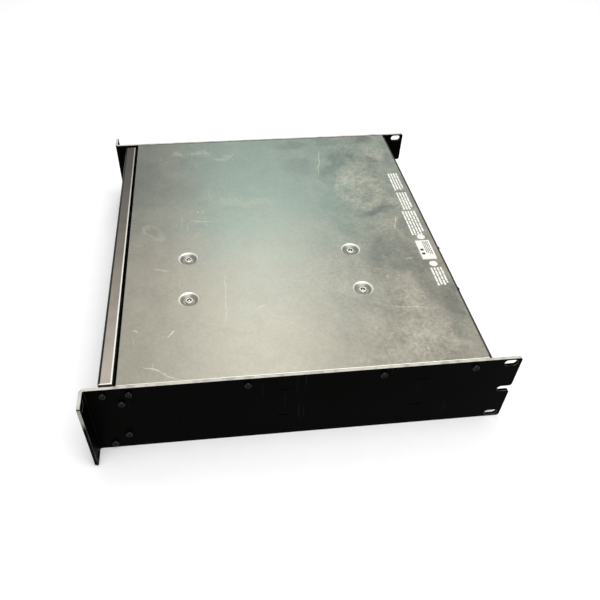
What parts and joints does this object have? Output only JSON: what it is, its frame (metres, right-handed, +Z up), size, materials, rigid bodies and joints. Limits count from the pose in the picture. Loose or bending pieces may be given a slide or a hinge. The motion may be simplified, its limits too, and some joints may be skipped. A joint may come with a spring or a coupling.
{
  "type": "rack power amplifier",
  "caption": "Rack-mount audio power amplifier in a folded steel case, with bent rack ears, dimpled lid, fan-cooled tunnel, gain knobs and rear sockets.",
  "frame": {"origin": "centre of the underside of the whole unit, ears included", "axes": "front faces -Y, +Z up, +X to the right seen from the front"},
  "size_m": [0.4826, 0.4098, 0.0881],
  "materials": {
    "side_paint": "satin black powder paint with fine scratches",
    "cover_paint": "dark grey satin paint, scratched and dusty",
    "front_paint": "dark brown-grey satin paint",
    "bare_steel": "zinc-plated steel sheet",
    "black_screw": "black zinc, semi-gloss",
    "plated_screw": "bright zinc plating",
    "knob_plastic": "matt black moulded plastic",
    "lamp_lens": "tinted clear lamp",
    "board": "green circuit board",
    "black_plastic": "black glass-filled plastic",
    "rocker_plastic": "gloss black rocker",
    "guard_wire": "bright plated wire",
    "connector_metal": "black chromed die-cast",
    "latch_metal": "pressed steel",
    "socket_plastic": "dark blue-black plastic",
    "button_plastic": "off-white moulded plastic",
    "heatsink_aluminium": "mill-finish extrusion",
    "winding": "varnished copper winding under tape",
    "pad_rubber": "soft black rubber",
    "capacitor_sleeve": "shrink sleeve"
  },
  "bodies": {
    "case": {"side_panel_right": "side_paint", "side_panel_left": "side_paint", "top_cover": "cover_paint", "bottom_tray": "bare_steel", "front_panel": "front_paint", "rear_panel": "side_paint", "front_rail": "bare_steel", "brace_right_front": "bare_steel", "brace_right_rear": "bare_steel", "brace_left_front": "bare_steel", "brace_left_rear": "bare_steel", "side_screws": "black_screw", "cover_screws": "plated_screw", "tray_screws": "plated_screw", "rear_panel_screws": "black_screw", "panel_spacers": "bare_steel", "gain_pot_1": "bare_steel", "gain_pot_2": "bare_steel", "gain_nuts": "plated_screw", "channel_leds": "lamp_lens", "front_board": "board", "power_switch_housing": "black_plastic", "fan_frame": "black_plastic", "fan_guard": "guard_wire", "fan_screws": "black_screw", "air_duct": "bare_steel", "input_socket_1": "connector_metal", "input_socket_2": "connector_metal", "speaker_socket_1": "socket_plastic", "speaker_socket_2": "socket_plastic", "connector_screws": "black_screw", "mode_switch_housing": "bare_steel", "mains_inlet": "black_plastic", "breaker_body": "black_plastic", "breaker_nut": "plated_screw", "heatsink_outer": "heatsink_aluminium", "heatsink_inner": "heatsink_aluminium", "output_devices": "black_plastic", "transformer": "winding", "transformer_pad": "pad_rubber", "transformer_clamp": "bare_steel", "transformer_stud": "plated_screw", "transformer_nut": "plated_screw", "amp_board_outer": "board", "amp_board_inner": "board", "supply_board": "board", "input_board": "board", "board_pillars": "plated_screw", "supply_capacitors": "capacitor_sleeve", "rectifier": "black_plastic"},
    "fan_rotor": {"fan_rotor": "black_plastic"},
    "gain_1": {"gain_knob_1": "knob_plastic", "gain_shaft_1": "plated_screw"},
    "gain_2": {"gain_knob_2": "knob_plastic", "gain_shaft_2": "plated_screw"},
    "power_rocker": {"power_rocker": "rocker_plastic"},
    "breaker_button": {"breaker_button": "button_plastic"},
    "mode_slider": {"mode_slider": "black_plastic"},
    "input_latch_1": {"input_latch_1": "latch_metal"},
    "input_latch_2": {"input_latch_2": "latch_metal"}
  },
  "joints": [
    {"name": "fan_spin", "type": "hinge", "parent": "case", "child": "fan_rotor", "pos_m": [0.07525, 0.165, 0.043], "axis": [0, 1, 0], "continuous": true},
    {"name": "gain_1_turn", "type": "hinge", "parent": "case", "child": "gain_1", "pos_m": [-0.12, -0.195, 0.036], "axis": [0, 1, 0], "range_deg": [-150, 150]},
    {"name": "gain_2_turn", "type": "hinge", "parent": "case", "child": "gain_2", "pos_m": [-0.062, -0.195, 0.036], "axis": [0, 1, 0], "range_deg": [-150, 150]},
    {"name": "power_rock", "type": "hinge", "parent": "case", "child": "power_rocker", "pos_m": [-0.19, -0.1869, 0.04], "axis": [1, 0, 0], "range_deg": [-18, 0]},
    {"name": "breaker_pop", "type": "slide", "parent": "case", "child": "breaker_button", "axis": [0, 1, 0], "range_m": [0, 0.004]},
    {"name": "mode_slide", "type": "slide", "parent": "case", "child": "mode_slider", "axis": [1, 0, 0], "range_m": [-0.003, 0.003]},
    {"name": "input_latch_1_press", "type": "slide", "parent": "case", "child": "input_latch_1", "axis": [0, -1, 0], "range_m": [0, 0.0015], "stiffness_N_per_m": 300},
    {"name": "input_latch_2_press", "type": "slide", "parent": "case", "child": "input_latch_2", "axis": [0, -1, 0], "range_m": [0, 0.0015], "stiffness_N_per_m": 300}
  ]
}
